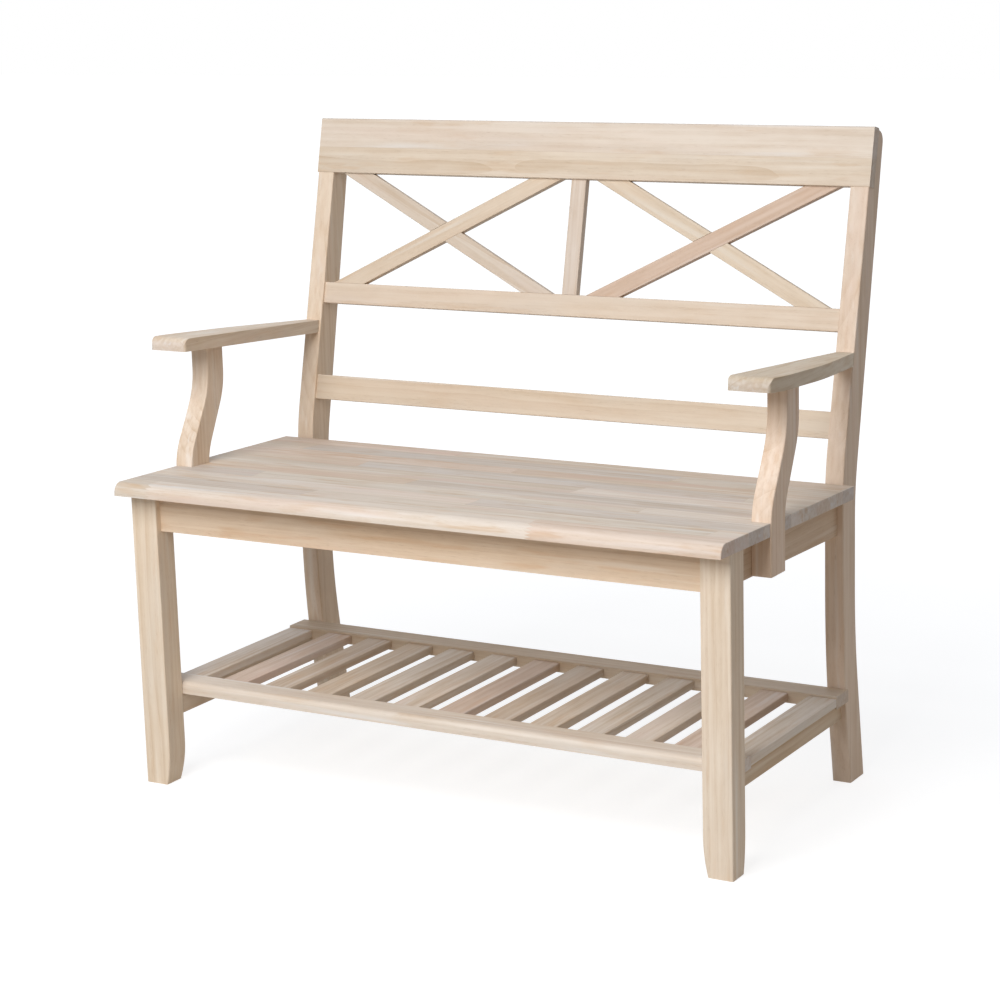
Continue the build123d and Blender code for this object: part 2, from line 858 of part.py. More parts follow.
# Shelf rails and slats
with BuildPart() as shelf_front_rail:
    with BuildSketch(Plane.YZ) as rail_side:
        with Locations((shelf_front, shelf_bottom)):
            Rectangle(shelf_front_rail_width, shelf_thickness, align=Align.MIN)
        rail_front_top = rail_side.vertices().group_by(Axis.X)[0].sort_by(Axis.Y)[-1]
        fillet(rail_front_top, radius=shelf_thickness * shelf_nose_share)
    extrude(amount=shelf_width / 2, both=True)
    drill(slat_dowel_places, slim_dowel)
    bore(shelf_screws)

with BuildPart() as shelf_rear_rail:
    with BuildSketch(Plane.YZ):
        with Locations((slats_rear, shelf_bottom)):
            Rectangle(shelf_rear_rail_width, shelf_thickness, align=Align.MIN)
    extrude(amount=shelf_width / 2, both=True)
    fillet(shelf_rear_rail.edges().filter_by(Axis.X).group_by(Axis.Z)[-1], radius=slight_edge)
    drill(slat_dowel_places, slim_dowel)
    bore(shelf_screws)

shelf_slats = {}
for number, middle in enumerate(slat_middles, start=1):
    with BuildPart() as slat:
        with BuildSketch(Plane.XY.offset(slat_bottom)):
            with Locations((middle, slats_front)):
                Rectangle(slat_width, slats_rear - slats_front, align=(Align.CENTER, Align.MIN))
        extrude(amount=slat_thickness)
        fillet(slat.edges().filter_by(Axis.Y), radius=slight_edge)
        drill(slat_dowel_places, slim_dowel)
    shelf_slats[f"shelf_slat_{number:02d}"] = slat

# All pieces by name, with the dowels and screws as groups
pieces = {
    "rear_post_left": rear_post_left,
    "rear_post_right": rear_post_right,
    "front_leg_left": front_leg_left,
    "front_leg_right": front_leg_right,
    "crest_rail": crest_rail,
    "middle_back_rail": middle_back_rail,
    "lower_back_rail": lower_back_rail,
    "centre_stile": centre_stile,
    "brace_left_rising": brace_left_rising,
    "brace_left_falling": brace_left_falling,
    "brace_right_rising": brace_right_rising,
    "brace_right_falling": brace_right_falling,
    "front_apron": front_apron,
    "rear_apron": rear_apron,
    "side_apron_left": side_apron_left,
    "side_apron_right": side_apron_right,
    "corner_block_front_left": corner_block_front_left,
    "corner_block_front_right": corner_block_front_right,
    "corner_block_rear_left": corner_block_rear_left,
    "corner_block_rear_right": corner_block_rear_right,
    "seat_panel": seat_panel,
    "arm_left": arm_left,
    "arm_right": arm_right,
    "arm_support_left": arm_support_left,
    "arm_support_right": arm_support_right,
    "shelf_stretcher_left": shelf_stretcher_left,
    "shelf_stretcher_right": shelf_stretcher_right,
    "shelf_front_rail": shelf_front_rail,
    "shelf_rear_rail": shelf_rear_rail,
    **shelf_slats,
    "apron_dowels": make_dowels(apron_dowel_places, frame_dowel),
    "rear_apron_dowels": make_dowels(rear_apron_dowel_places, short_dowel),
    "back_rail_dowels": make_dowels(back_rail_dowel_places, frame_dowel),
    "crest_dowels": make_dowels(crest_dowel_places, short_dowel),
    "brace_dowels": make_dowels(brace_dowel_places, slim_dowel),
    "stile_dowels": make_dowels(stile_dowel_places, slim_dowel),
    "arm_post_dowels": make_dowels(arm_post_dowel_places, slim_dowel),
    "arm_support_dowels": make_dowels(arm_support_dowel_places, short_dowel),
    "stretcher_dowels": make_dowels(stretcher_dowel_places, slim_dowel),
    "slat_dowels": make_dowels(slat_dowel_places, slim_dowel),
    "corner_block_screws": make_screws(block_screws),
    "seat_screws": make_screws(seat_screws),
    "arm_support_screws": make_screws(support_screws),
    "shelf_screws": make_screws(shelf_screws),
}

os.makedirs("parts", exist_ok=True)
for name, piece in pieces.items():
    piece.part.label = name
    export_step(piece.part, f"parts/{name}.step")
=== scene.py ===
# Looks of an unfinished wooden bench: two arms, a back of two X panels, a glued-up seat, a slatted shelf
import bmesh
import bpy
import math
import numpy as np
from mathutils import Matrix, Vector


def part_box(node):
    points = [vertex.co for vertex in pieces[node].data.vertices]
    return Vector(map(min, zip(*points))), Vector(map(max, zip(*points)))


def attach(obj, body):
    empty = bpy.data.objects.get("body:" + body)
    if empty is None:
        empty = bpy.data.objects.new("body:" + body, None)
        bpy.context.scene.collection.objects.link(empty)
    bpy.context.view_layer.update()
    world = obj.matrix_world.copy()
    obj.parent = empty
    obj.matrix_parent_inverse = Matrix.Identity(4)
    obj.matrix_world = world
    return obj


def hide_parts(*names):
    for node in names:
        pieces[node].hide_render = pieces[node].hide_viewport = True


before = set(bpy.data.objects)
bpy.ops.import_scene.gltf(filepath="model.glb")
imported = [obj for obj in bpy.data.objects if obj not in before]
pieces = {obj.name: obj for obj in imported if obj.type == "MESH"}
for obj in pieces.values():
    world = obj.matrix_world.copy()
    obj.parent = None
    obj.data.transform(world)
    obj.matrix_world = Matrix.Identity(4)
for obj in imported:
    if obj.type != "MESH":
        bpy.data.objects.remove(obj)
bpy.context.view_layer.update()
print("frame loaded:", len(pieces), "pieces")


# Small helpers for node trees: a value may be a number, a colour or the socket that drives it

plainWhite = (1.0, 1.0, 1.0, 1.0)
noiseRoughness = 0.55


def addNode(tree, kind, inputs=None, **settings):
    node = tree.nodes.new(kind)
    for name, value in settings.items():
        setattr(node, name, value)
    for key, value in (inputs or {}).items():
        if isinstance(value, bpy.types.NodeSocket):
            tree.links.new(value, node.inputs[key])
        else:
            node.inputs[key].default_value = value
    return node


def calc(tree, operation, *values, clamp=False):
    node = addNode(tree, "ShaderNodeMath", dict(enumerate(values)), operation=operation, use_clamp=clamp)
    return node.outputs[0]


def calcVector(tree, operation, *values, output=0):
    node = addNode(tree, "ShaderNodeVectorMath", dict(enumerate(values)), operation=operation)
    return node.outputs[output]


def splitVector(tree, vector):
    return addNode(tree, "ShaderNodeSeparateXYZ", {0: vector}).outputs


def joinVector(tree, x, y, z):
    return addNode(tree, "ShaderNodeCombineXYZ", {0: x, 1: y, 2: z}).outputs[0]


def remap(tree, value, low, high):
    # 0 up to low, 1 from high on, and smooth in between
    inputs = {0: value, 1: low, 2: high, 3: 0.0, 4: 1.0}
    return addNode(tree, "ShaderNodeMapRange", inputs, interpolation_type="SMOOTHSTEP").outputs[0]


def noise(tree, vector, stretch, detail=2.0, output=0):
    stretched = calcVector(tree, "MULTIPLY", vector, stretch)
    inputs = {"Vector": stretched, "Scale": 1.0, "Detail": detail, "Roughness": noiseRoughness}
    return addNode(tree, "ShaderNodeTexNoise", inputs).outputs[output]


def patches(tree, vector, layer):
    # a layer is its stretch, its detail, and the noise values where its patches start and are full
    stretch, detail, low, high = layer
    return remap(tree, noise(tree, vector, stretch, detail), low, high)


def mixColor(tree, factor, first, second, blend="MIX"):
    inputs = {0: factor, 6: first, 7: second}
    return addNode(tree, "ShaderNodeMix", inputs, data_type="RGBA", blend_type=blend).outputs[2]


def newGroup(name, kind, inputs, outputs):
    tree = bpy.data.node_groups.new(name, kind)
    for label, sort, value in inputs:
        socket = tree.interface.new_socket(label, in_out="INPUT", socket_type="NodeSocket" + sort)
        if value is not None:
            socket.default_value = value
    for label, sort in outputs:
        tree.interface.new_socket(label, in_out="OUTPUT", socket_type="NodeSocket" + sort)
    return tree, tree.nodes.new("NodeGroupInput").outputs, tree.nodes.new("NodeGroupOutput").inputs


# Sawn grain: X runs along the board, Y across it and Z through it

grain = {
    "seedShift": (3.17, 0.73, 1.0),                      # moves each board to its own place in the noise
    # how far the rings drift along a board
    "wander": 0.022, "wanderStretch": (1.8, 7.0, 7.0), "wanderDetail": 3.0,
    "ringSpacing": 0.0078, "ringSharpness": 2.6, "ringFade": (0.85, 0.15),
    # place of the pith: how fast it turns with the seed, its swing and its middle
    "pithAcross": (5.3, 0.05, 0.01), "pithThrough": (2.9, 0.03, 0.06),
    "layers": {
        "band": ((1.3, 26.0, 26.0), 2.0, 0.34, 0.68),
        "streak": ((3.6, 170.0, 170.0), 3.0, 0.32, 0.70),
        "cloud": ((16.0, 70.0, 70.0), 3.0, 0.30, 0.72),
        "pore": ((75.0, 1500.0, 1500.0), 1.0, 0.60, 0.70),
        "flush": ((2.4, 24.0, 30.0), 3.0, 0.50, 0.74),
        "cool": ((3.1, 17.0, 21.0), 3.0, 0.50, 0.78),
        "figure": ((10.0, 72.0, 72.0), 3.0, 0.53, 0.69),
        "chalk": ((2.6, 75.0, 75.0), 2.0, 0.58, 0.74),
    },
    "mottleStretch": (60.0, 210.0, 210.0), "fibreStretch": (14.0, 900.0, 900.0),
    "figureFade": (0.6, 0.4),
    # how far each layer takes the wood from pale to tan
    "depths": {"ring": 0.56, "band": 0.18, "streak": 0.27, "cloud": 0.18, "mottle": 0.10, "fibre": 0.10},
    "depthStart": -0.17,
    "pale": (0.782, 0.676, 0.566, 1.0), "tan": (0.590, 0.447, 0.312, 1.0),
    "paints": {
        "cool": (0.690, 0.635, 0.575, 1.0), "figure": (0.640, 0.455, 0.295, 1.0),
        "chalk": (0.815, 0.770, 0.720, 1.0), "flush": (0.712, 0.545, 0.440, 1.0),
        "pore": (0.480, 0.350, 0.240, 1.0),
    },
    "coolShare": 0.45, "chalkShare": 0.55, "poreShare": 0.45,
    "endTint": (0.900, 0.915, 0.980, 1.0), "endReach": (0.55, 0.92),
    "fibreHeight": 0.5, "ringHeight": 0.4, "poreHeight": -0.6,
    "roughness": (0.10, 0.54),                           # share of the streaks, start
    "specular": 0.5, "bumpStrength": 0.5, "bumpDepth": 0.00012,
}


def makeGrainGroup():
    tree, given, out = newGroup(
        "sawnGrain", "ShaderNodeTree",
        [("Vector", "Vector", None), ("Normal", "Vector", None), ("Seed", "Float", 0.0),
         ("Contrast", "Float", 1.0), ("Flush", "Float", 0.3), ("Figure", "Float", 0.35),
         ("Tint", "Color", plainWhite)],
        [("Color", "Color"), ("Roughness", "Float"), ("Height", "Float")])
    place, seed = given["Vector"], given["Seed"]
    shift = joinVector(tree, *(calc(tree, "MULTIPLY", seed, step) for step in grain["seedShift"]))
    here = calcVector(tree, "ADD", place, shift)

    # growth rings round a pith that lies outside the board, some years stronger than others
    drift = noise(tree, here, grain["wanderStretch"], grain["wanderDetail"], output=1)
    drift = calcVector(tree, "SUBTRACT", drift, (0.5, 0.5, 0.5))
    drift = calcVector(tree, "MULTIPLY", drift, (0.0, grain["wander"], grain["wander"]))
    bent = splitVector(tree, calcVector(tree, "ADD", place, drift))

    def fromPith(value, turn, swing, middle):
        turned = calc(tree, "SINE", calc(tree, "MULTIPLY", seed, turn))
        return calc(tree, "SUBTRACT", value, calc(tree, "MULTIPLY_ADD", turned, swing, middle))

    away = joinVector(tree, 0.0, fromPith(bent[1], *grain["pithAcross"]),
                      fromPith(bent[2], *grain["pithThrough"]))
    radius = calcVector(tree, "LENGTH", away, output="Value")
    years = calc(tree, "DIVIDE", radius, grain["ringSpacing"])
    year = calc(tree, "ADD", calc(tree, "FLOOR", years), seed)
    strength = addNode(tree, "ShaderNodeTexWhiteNoise", {"W": year}, noise_dimensions="1D").outputs["Value"]
    ring = calc(tree, "POWER", calc(tree, "FRACT", years), grain["ringSharpness"])
    ring = calc(tree, "MULTIPLY", ring, strength)

    layers = {key: patches(tree, here, layer) for key, layer in grain["layers"].items()}
    layers["mottle"] = noise(tree, here, grain["mottleStretch"])
    layers["fibre"] = noise(tree, here, grain["fibreStretch"])

    # ring lines fade in and out along the board; pores and figure keep to the dark streaks
    layers["ring"] = calc(tree, "MULTIPLY", ring,
                          calc(tree, "MULTIPLY_ADD", layers["band"], *grain["ringFade"]))
    layers["pore"] = calc(tree, "MULTIPLY", layers["pore"], layers["streak"])
    layers["figure"] = calc(tree, "MULTIPLY", layers["figure"],
                            calc(tree, "MULTIPLY_ADD", layers["streak"], *grain["figureFade"]))

    depth = 0.0
    for key, share in grain["depths"].items():
        depth = calc(tree, "MULTIPLY_ADD", layers[key], share, depth)
    depth = calc(tree, "MULTIPLY_ADD", depth, given["Contrast"], grain["depthStart"], clamp=True)
    color = mixColor(tree, depth, grain["pale"], grain["tan"])
    shares = {"cool": grain["coolShare"], "figure": given["Figure"], "chalk": grain["chalkShare"],
              "flush": given["Flush"], "pore": grain["poreShare"]}
    for key, share in shares.items():
        color = mixColor(tree, calc(tree, "MULTIPLY", layers[key], share), color, grain["paints"][key])
    color = mixColor(tree, 1.0, color, given["Tint"], blend="MULTIPLY")

    # sawn ends are darker and greyer
    along = calc(tree, "ABSOLUTE", splitVector(tree, given["Normal"])[0])
    endGrain = remap(tree, along, *grain["endReach"])
    color = mixColor(tree, endGrain, color, mixColor(tree, 1.0, color, grain["endTint"], blend="MULTIPLY"))

    height = calc(tree, "MULTIPLY", layers["ring"], grain["ringHeight"])
    height = calc(tree, "MULTIPLY_ADD", layers["fibre"], grain["fibreHeight"], height)
    height = calc(tree, "MULTIPLY_ADD", layers["pore"], grain["poreHeight"], height)
    tree.links.new(color, out["Color"])
    tree.links.new(calc(tree, "MULTIPLY_ADD", layers["streak"], *grain["roughness"]), out["Roughness"])
    tree.links.new(height, out["Height"])
    return tree


# Glued staves: boards made of strips side by side, each of blocks that are finger jointed end to end

staveSteps = {"joint": 0.618, "blockTone": 0.382, "staveTone": 0.28}   # from one stave or block to the next
seedSpan = 40.0                                                        # random seeds lie between 0 and this


def makeStaveGroup():
    tree, given, out = newGroup(
        "gluedStaves", "ShaderNodeTree",
        [("Vector", "Vector", None), ("Stave Width", "Float", 0.04), ("Block Length", "Float", 0.4),
         ("Finger Depth", "Float", 0.01), ("Finger Pitch", "Float", 0.004), ("Glue Line", "Float", 0.0004),
         ("Along Shift", "Float", 0.0), ("Across Shift", "Float", 0.0), ("Tone Shift", "Float", 0.0)],
        [("Seed", "Float"), ("Tone", "Float"), ("Line", "Float")])
    along, across, through = splitVector(tree, given["Vector"])
    lane = calc(tree, "DIVIDE", calc(tree, "ADD", across, given["Across Shift"]), given["Stave Width"])
    stave = calc(tree, "FLOOR", lane)

    # fingers are cut through the thickness, so they show on the edges and as a straight line on the faces
    halfPitch = calc(tree, "MULTIPLY", given["Finger Pitch"], 0.5)
    zigzag = calc(tree, "DIVIDE", calc(tree, "PINGPONG", through, halfPitch), halfPitch)
    finger = calc(tree, "MULTIPLY", zigzag, given["Finger Depth"])
    run = calc(tree, "ADD", calc(tree, "ADD", along, given["Along Shift"]), finger)
    reach = calc(tree, "DIVIDE", run, given["Block Length"])
    reach = calc(tree, "MULTIPLY_ADD", stave, staveSteps["joint"], reach)   # joints of neighbours lie apart
    block = calc(tree, "FLOOR", reach)
    tone = calc(tree, "MULTIPLY", stave, staveSteps["staveTone"])
    tone = calc(tree, "MULTIPLY_ADD", block, staveSteps["blockTone"], tone)
    random = addNode(tree, "ShaderNodeTexWhiteNoise", {"Vector": joinVector(tree, stave, block, 0.0)},
                     noise_dimensions="3D").outputs

    def nearEdge(value, size):
        # metres from the nearest whole number of lanes or blocks
        part = calc(tree, "FRACT", value)
        return calc(tree, "MULTIPLY", calc(tree, "MINIMUM", part, calc(tree, "SUBTRACT", 1.0, part)), size)

    gap = calc(tree, "MINIMUM", nearEdge(lane, given["Stave Width"]),
               nearEdge(reach, given["Block Length"]))
    line = calc(tree, "SUBTRACT", 1.0, calc(tree, "DIVIDE", gap, given["Glue Line"]), clamp=True)
    tree.links.new(calc(tree, "MULTIPLY", random["Value"], seedSpan), out["Seed"])
    tree.links.new(calc(tree, "FRACT", calc(tree, "ADD", tone, given["Tone Shift"])), out["Tone"])
    tree.links.new(line, out["Line"])
    return tree


grainGroup = makeGrainGroup()
staveGroup = makeStaveGroup()
print("shader groups made")


# Wood of each piece: which way its board was sawn, and its tone, which for the shelf's rear rail also holds
# painted shade

backSlope = {"lean": 13.1, "brace": 27.1}             # degrees, of the raked back and of its braces


def grainTurn(along, across):
    # rotation that brings a board's length onto X and its width onto Y
    return Matrix((along, across, along.cross(across))).to_euler()


lean = math.radians(backSlope["lean"])
brace = math.radians(backSlope["brace"])
sideways = Vector((1, 0, 0))
backward = Vector((0, 1, 0))
upward = Vector((0, 0, 1))
upBack = Vector((0, math.sin(lean), math.cos(lean)))
turns = {
    "x": grainTurn(sideways, upward),
    "y": grainTurn(backward, sideways),
    "z": grainTurn(upward, sideways),
    "backX": grainTurn(sideways, upBack),
    "backUp": grainTurn(upBack, sideways),
    "rising": grainTurn(sideways * math.cos(brace) + upBack * math.sin(brace),
                        upBack * math.cos(brace) - sideways * math.sin(brace)),
    "falling": grainTurn(sideways * math.cos(brace) - upBack * math.sin(brace),
                         upBack * math.cos(brace) + sideways * math.sin(brace)),
    "seat": grainTurn(sideways, backward),
}
boardSeeds = {"step": 1.7, "start": 0.4}

# piece: (grain direction, tint, contrast, pink flush, tan figure)
cuts = {
    "middle_back_rail": ("backX", (0.94, 0.91, 0.875), 0.95, 0.15, 0.3),
    "lower_back_rail": ("backX", (0.885, 0.85, 0.79), 0.8, 0.2, 0.3),
    "centre_stile": ("backUp", (0.89, 0.88, 0.895), 1.4, 0.3, 0.3),
    "brace_left_rising": ("rising", (0.90, 0.86, 0.80), 1.0, 0.2, 0.4),
    "brace_left_falling": ("falling", (0.905, 0.92, 0.94), 1.1, 0.35, 0.3),
    "brace_right_rising": ("rising", (0.86, 0.77, 0.735), 1.2, 0.6, 0.4),
    "brace_right_falling": ("falling", (0.91, 0.88, 0.815), 1.0, 0.15, 0.3),
    "rear_post_left": ("z", (1.0, 0.95, 0.89), 1.0, 0.3, 0.3),
    "rear_post_right": ("z", (1.0, 0.94, 0.90), 0.95, 0.3, 0.3),
    "front_leg_left": ("z", (1.08, 1.07, 1.03), 1.0, 0.2, 0.35),
    "front_leg_right": ("z", (1.08, 1.085, 1.075), 1.2, 0.1, 0.3),
    "front_apron": ("x", (1.06, 0.98, 0.885), 1.2, 0.5, 0.7),
    "rear_apron": ("x", (0.96, 0.93, 0.88), 1.0, 0.2, 0.4),
    "side_apron_left": ("y", (0.93, 0.88, 0.82), 1.0, 0.3, 0.4),
    "side_apron_right": ("y", (0.90, 0.82, 0.735), 1.1, 0.2, 0.4),
    "corner_block_front_left": ("x", (0.93, 0.89, 0.85), 1.0, 0.2, 0.3),
    "corner_block_front_right": ("x", (0.97, 0.95, 0.92), 1.0, 0.2, 0.3),
    "corner_block_rear_left": ("x", (0.97, 0.95, 0.92), 1.0, 0.2, 0.3),
    "corner_block_rear_right": ("x", (0.93, 0.89, 0.85), 1.0, 0.2, 0.3),
    "arm_left": ("y", (1.0, 0.99, 0.965), 1.35, 0.3, 0.5),
    "arm_right": ("y", (0.88, 0.89, 0.86), 1.35, 0.3, 0.5),
    "arm_support_left": ("z", (1.04, 1.015, 0.995), 1.25, 0.3, 0.3),
    "arm_support_right": ("z", (1.07, 1.01, 0.98), 1.25, 0.35, 0.5),
    "shelf_stretcher_left": ("y", (0.97, 0.94, 0.89), 1.1, 0.2, 0.4),
    "shelf_stretcher_right": ("y", (0.90, 0.84, 0.74), 1.2, 0.2, 0.4),
    "shelf_front_rail": ("x", (1.0, 1.035, 1.08), 1.0, 0.2, 0.4),
    # the shelf's rear rail is tinted darker as painted shade, for the shadow the seat casts on it
    "shelf_rear_rail": ("x", (0.82, 0.78, 0.72), 1.1, 0.2, 0.4),
}


def newMaterial(name):
    material = bpy.data.materials.new(name)
    material.use_nodes = True
    tree = material.node_tree
    return material, tree, tree.nodes["Principled BSDF"]


def boardVector(tree, middle, turn):
    # object coordinates and normal, turned so that X runs along the board
    spot = addNode(tree, "ShaderNodeTexCoord").outputs
    move = -(turn.to_matrix() @ middle)
    place = addNode(tree, "ShaderNodeMapping",
                    {"Vector": spot["Object"], "Location": move, "Rotation": turn}, vector_type="POINT")
    facing = addNode(tree, "ShaderNodeMapping",
                     {"Vector": spot["Normal"], "Rotation": turn}, vector_type="VECTOR")
    return place.outputs[0], facing.outputs[0]


def addGrain(tree, place, facing, seed, look, tint):
    inputs = {"Vector": place, "Normal": facing, "Seed": seed, "Tint": tint}
    inputs.update({name: look[name.lower()] for name in ("Contrast", "Flush", "Figure")})
    return addNode(tree, "ShaderNodeGroup", inputs, node_tree=grainGroup).outputs


def finishWood(tree, shader, color, wood):
    bump = addNode(tree, "ShaderNodeBump", {"Strength": grain["bumpStrength"],
                                            "Distance": grain["bumpDepth"], "Height": wood["Height"]})
    tree.links.new(color, shader.inputs["Base Color"])
    tree.links.new(wood["Roughness"], shader.inputs["Roughness"])
    tree.links.new(bump.outputs[0], shader.inputs["Normal"])
    shader.inputs["Specular IOR Level"].default_value = grain["specular"]


def makeBoardWood(name, middle, turn, tint, contrast, flush, figure, seed):
    material, tree, shader = newMaterial(name)
    place, facing = boardVector(tree, middle, turn)
    look = {"contrast": contrast, "flush": flush, "figure": figure}
    wood = addGrain(tree, place, facing, seed, look, (*tint, 1.0))
    finishWood(tree, shader, wood["Color"], wood)
    return material


def dress(piece, material):
    piece.data.materials.clear()
    piece.data.materials.append(material)


def middleOf(name):
    low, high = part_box(name)
    return (low + high) / 2


for number, (name, (direction, *look)) in enumerate(cuts.items()):
    seed = boardSeeds["step"] * number + boardSeeds["start"]
    dress(pieces[name], makeBoardWood(name + "_wood", middleOf(name), turns[direction], *look, seed))
print("board woods:", len(cuts))


def pickTint(tree, share, tints):
    # one of the tints, for a share between 0 and 1
    ramp = addNode(tree, "ShaderNodeValToRGB", {"Fac": share})
    elements = ramp.color_ramp.elements
    ramp.color_ramp.interpolation = "CONSTANT"
    while len(elements) < len(tints):
        elements.new(0.5)
    for index, tint in enumerate(tints):
        elements[index].position = index / len(tints)
        elements[index].color = (*tint, 1.0)
    return ramp.outputs["Color"]


def makeGluedWood(name, turn, sizes):
    # staves side by side, each block with its own grain and one of the tints
    material, tree, shader = newMaterial(name + "_wood")
    place, facing = boardVector(tree, middleOf(name), turn)
    inputs = {"Vector": place}
    for socket, key in (("Stave Width", "staveWidth"), ("Block Length", "blockLength"),
                        ("Finger Depth", "fingerDepth"), ("Finger Pitch", "fingerPitch"),
                        ("Glue Line", "glueLine"), ("Along Shift", "alongShift"),
                        ("Across Shift", "acrossShift"), ("Tone Shift", "toneShift")):
        inputs[socket] = sizes[key]
    staves = addNode(tree, "ShaderNodeGroup", inputs, node_tree=staveGroup).outputs
    tint = pickTint(tree, staves["Tone"], sizes["tints"])
    wood = addGrain(tree, place, facing, staves["Seed"], sizes, tint)
    glue = calc(tree, "MULTIPLY", staves["Line"], sizes["lineDepth"])
    finishWood(tree, shader, mixColor(tree, glue, wood["Color"], grain["paints"]["pore"]), wood)
    return material


# Crest rail: a plainer board glued along the bottom of a wider one

crest = {"staveWidth": 0.045, "blockLength": 9.0, "fingerDepth": 0.0, "fingerPitch": 0.004,
         "glueLine": 0.0006, "alongShift": 0.9, "acrossShift": 0.0025, "toneShift": 0.3, "lineDepth": 0.30,
         "contrast": 1.0, "flush": 0.25, "figure": 0.5,
         "tints": [(0.945, 0.95, 0.96), (0.925, 0.915, 0.885)]}
dress(pieces["crest_rail"], makeGluedWood("crest_rail", turns["backX"], crest))
print("crest rail dressed")


# Seat panel: staves glued edge to edge, each of several blocks finger jointed end to end

seat = {"staveWidth": 0.044, "blockLength": 0.62, "fingerDepth": 0.010, "fingerPitch": 0.0042,
        "glueLine": 0.0006, "alongShift": -0.1492, "acrossShift": 0.0, "toneShift": 0.0, "lineDepth": 0.40,
        "contrast": 1.1, "flush": 0.8, "figure": 1.0,
        "tints": [(0.97, 1.0, 1.045), (0.85, 0.88, 0.935), (0.95, 0.92, 0.93), (0.91, 0.94, 0.97),
                  (0.90, 0.88, 0.86)]}
dress(pieces["seat_panel"], makeGluedWood("seat_panel", turns["seat"], seat))
print("seat panel dressed")


# Dowels, inside the joints

dowels = {"tint": (0.93, 0.85, 0.76), "contrast": 1.0, "flush": 0.0, "figure": 0.2, "seed": 91.0}
dowelWood = makeBoardWood("dowel_wood", Vector((0, 0, 0)), turns["x"], **dowels)
for name, piece in pieces.items():
    if name.endswith("_dowels"):
        dress(piece, dowelWood)


# Geometry Nodes: a modifier's inputs are set by name here, and its result becomes a plain mesh

def growPiece(name, seedMesh, tree, values):
    holder = bpy.data.objects.new(name, seedMesh)
    bpy.context.scene.collection.objects.link(holder)
    modifier = holder.modifiers.new(name, "NODES")
    modifier.node_group = tree
    sockets = {item.name: item.identifier for item in tree.interface.items_tree
               if item.item_type == "SOCKET" and item.in_out == "INPUT"}
    for key, value in values.items():
        modifier[sockets[key]] = value
    grown = bpy.data.meshes.new_from_object(holder.evaluated_get(bpy.context.evaluated_depsgraph_get()))
    holder.modifiers.clear()
    holder.data = grown
    grown.name = name
    return holder


def placeParts(tree, points, part, material, extra=None):
    # the part at each point, as real geometry with its material
    inputs = {"Points": points, "Instance": part, **(extra or {})}
    placed = addNode(tree, "GeometryNodeInstanceOnPoints", inputs).outputs[0]
    solid = addNode(tree, "GeometryNodeRealizeInstances", {"Geometry": placed}).outputs[0]
    return addNode(tree, "GeometryNodeSetMaterial", {"Geometry": solid, "Material": material}).outputs[0]


# Shelf slats: one row of equal boards, let into the rails below their tops

slats = {"nodes": sorted(name for name in pieces if name.startswith("shelf_slat_")),
         "edge": 0.0012, "edgeSteps": 2, "contrast": 1.5, "flush": 0.55, "figure": 0.7, "tintStep": 0.618,
         "tints": [(1.02, 1.06, 1.13), (0.85, 0.83, 0.82), (0.96, 1.01, 1.08), (0.91, 0.86, 0.875),
                   (0.94, 0.94, 0.94)]}


def makeSlatTree():
    tree, given, out = newGroup(
        "slatRow", "GeometryNodeTree",
        [("Geometry", "Geometry", None), ("Count", "Int", 13), ("Pitch", "Float", 0.07),
         ("Size", "Vector", None), ("First", "Vector", None), ("Wood", "Material", None)],
        [("Geometry", "Geometry")])
    board = addNode(tree, "GeometryNodeMeshCube", {"Size": given["Size"]}).outputs["Mesh"]
    step = joinVector(tree, given["Pitch"], 0.0, 0.0)
    row = addNode(tree, "GeometryNodeMeshLine", {"Count": given["Count"], "Start Location": given["First"],
                                                 "Offset": step}).outputs["Mesh"]
    tree.links.new(placeParts(tree, row, board, given["Wood"]), out["Geometry"])
    return tree


def makeSlatWood(first, pitch):
    # each slat is sawn from another board, so grain and tone change from one to the next
    material, tree, shader = newMaterial("shelf_slat_wood")
    place, facing = boardVector(tree, Vector((0, 0, 0)), turns["y"])
    acrossRow = splitVector(tree, addNode(tree, "ShaderNodeTexCoord").outputs["Object"])[0]
    lane = calc(tree, "DIVIDE", calc(tree, "SUBTRACT", acrossRow, first - pitch / 2), pitch)
    lane = calc(tree, "FLOOR", lane)
    random = addNode(tree, "ShaderNodeTexWhiteNoise", {"W": calc(tree, "ADD", lane, 0.5)},
                     noise_dimensions="1D").outputs
    seed = calc(tree, "MULTIPLY", random["Value"], seedSpan)
    share = calc(tree, "FRACT", calc(tree, "MULTIPLY", lane, slats["tintStep"]))
    wood = addGrain(tree, place, facing, seed, slats, pickTint(tree, share, slats["tints"]))
    finishWood(tree, shader, wood["Color"], wood)
    return material


def makeSlats():
    low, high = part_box(slats["nodes"][0])
    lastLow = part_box(slats["nodes"][-1])[0]
    count = len(slats["nodes"])
    pitch = (lastLow.x - low.x) / (count - 1)
    middle = (low + high) / 2
    wood = makeSlatWood(middle.x, pitch)
    row = growPiece("shelf_slats", bpy.data.meshes.new("slat_seed"), makeSlatTree(),
                    {"Count": count, "Pitch": pitch, "Size": high - low, "First": middle, "Wood": wood})
    bevel = row.modifiers.new("eased_edges", "BEVEL")
    bevel.width = slats["edge"]
    bevel.segments = slats["edgeSteps"]
    bevel.limit_method = "ANGLE"
    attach(row, "root")
    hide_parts(*slats["nodes"])


makeSlats()
print("shelf dressed:", len(slats["nodes"]), "slats")


# Screws: countersunk heads with a cross recess, where the plain ones are

